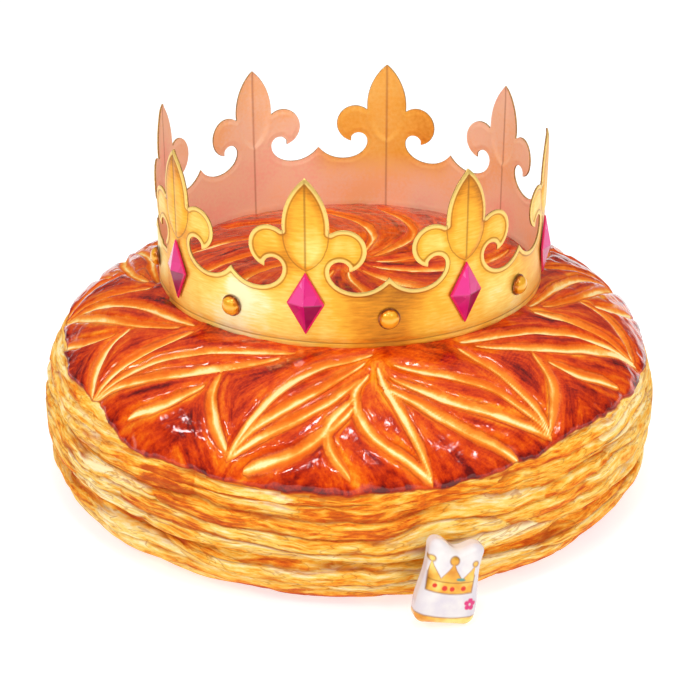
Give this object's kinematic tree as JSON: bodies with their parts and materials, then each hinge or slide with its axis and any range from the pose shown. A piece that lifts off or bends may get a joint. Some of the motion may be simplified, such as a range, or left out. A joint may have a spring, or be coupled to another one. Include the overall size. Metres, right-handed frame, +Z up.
{
  "type": "galette des rois",
  "caption": "Round puffed puff-pastry pie with a leaf-scored glazed lid, a gold card crown lying on it and a small porcelain charm leaning at its side.",
  "frame": {"origin": "centre of the pie's flat underside, on the surface that it stands on", "axes": "+Z up, -Y towards the front, where the leaves part; the charm leans at the front right"},
  "size_m": [0.259, 0.2695, 0.152],
  "materials": {
    "pastry": "baked puff pastry with a glossy egg-washed lid",
    "gold_card": "metallic gold foil on card, salmon inside",
    "gem": "faceted clear pink acrylic",
    "stud": "pearly amber lacquer",
    "porcelain": "white glaze with painted gold"
  },
  "bodies": {
    "root": {"galette": "pastry", "crown": "gold_card", "gem_1": "gem", "gem_2": "gem", "gem_3": "gem", "gem_4": "gem", "gem_5": "gem", "gem_6": "gem", "gem_7": "gem", "gem_8": "gem", "stud_1": "stud", "stud_2": "stud", "stud_3": "stud", "stud_4": "stud", "stud_5": "stud", "stud_6": "stud", "stud_7": "stud", "stud_8": "stud", "feve": "porcelain"}
  },
  "joints": []
}
